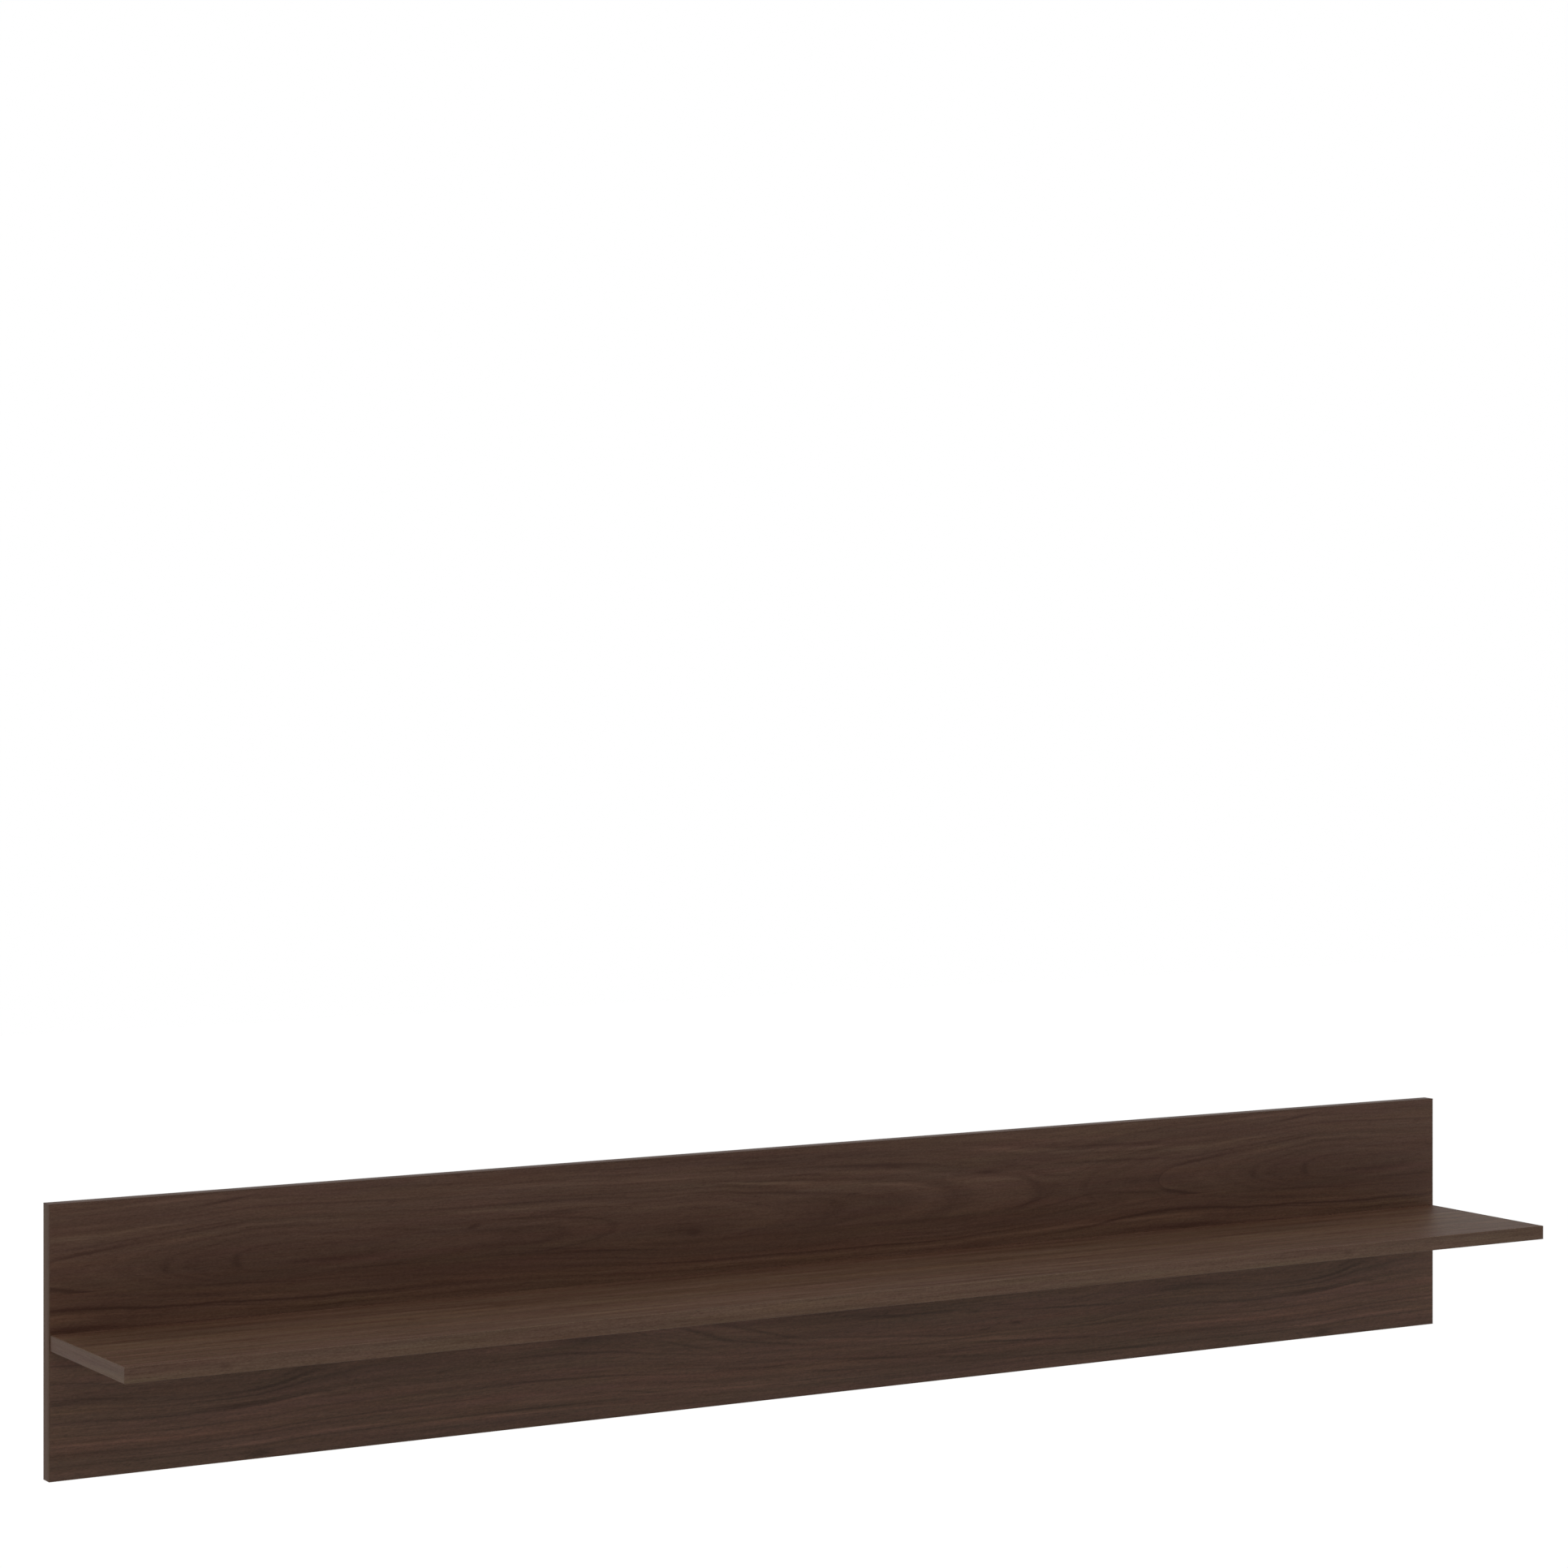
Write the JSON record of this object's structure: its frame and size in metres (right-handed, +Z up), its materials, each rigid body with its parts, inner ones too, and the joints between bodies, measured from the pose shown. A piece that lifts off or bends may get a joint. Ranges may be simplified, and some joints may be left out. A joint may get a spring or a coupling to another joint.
{
  "type": "wall shelf",
  "caption": "Long wall shelf in dark walnut-look board: a tall thin back panel that hangs flat on the wall with a shelf board standing out from its middle.",
  "frame": {"origin": "middle of the back panel's rear face, on the wall plane", "axes": "+X along the shelf to the right of someone facing it, +Y into the wall, +Z up"},
  "size_m": [1.8, 0.22, 0.28],
  "materials": {
    "walnut_board": "melamine foil with a printed dark walnut grain, satin",
    "walnut_band": "plastic edge band in the same dark walnut print, satin",
    "zinc_plated_steel": "bright zinc plating, slightly blue, satin",
    "beech": "raw pale beech, fluted"
  },
  "bodies": {
    "root": {"back_panel": "walnut_board", "back_panel_band_top": "walnut_band", "back_panel_band_bottom": "walnut_band", "back_panel_band_left": "walnut_band", "back_panel_band_right": "walnut_band", "shelf_board": "walnut_board", "shelf_board_band_front": "walnut_band", "shelf_board_band_left": "walnut_band", "shelf_board_band_right": "walnut_band", "connecting_screw_1": "zinc_plated_steel", "connecting_screw_2": "zinc_plated_steel", "connecting_screw_3": "zinc_plated_steel", "connecting_screw_4": "zinc_plated_steel", "connecting_screw_5": "zinc_plated_steel", "connecting_screw_6": "zinc_plated_steel", "dowel_1": "beech", "dowel_2": "beech", "dowel_3": "beech", "dowel_4": "beech", "dowel_5": "beech", "dowel_6": "beech", "hanger_plate_1": "zinc_plated_steel", "hanger_plate_2": "zinc_plated_steel", "hanger_plate_3": "zinc_plated_steel", "hanger_plate_4": "zinc_plated_steel", "hanger_screw_1_upper": "zinc_plated_steel", "hanger_screw_1_lower": "zinc_plated_steel", "hanger_screw_2_upper": "zinc_plated_steel", "hanger_screw_2_lower": "zinc_plated_steel", "hanger_screw_3_upper": "zinc_plated_steel", "hanger_screw_3_lower": "zinc_plated_steel", "hanger_screw_4_upper": "zinc_plated_steel", "hanger_screw_4_lower": "zinc_plated_steel"}
  },
  "joints": []
}
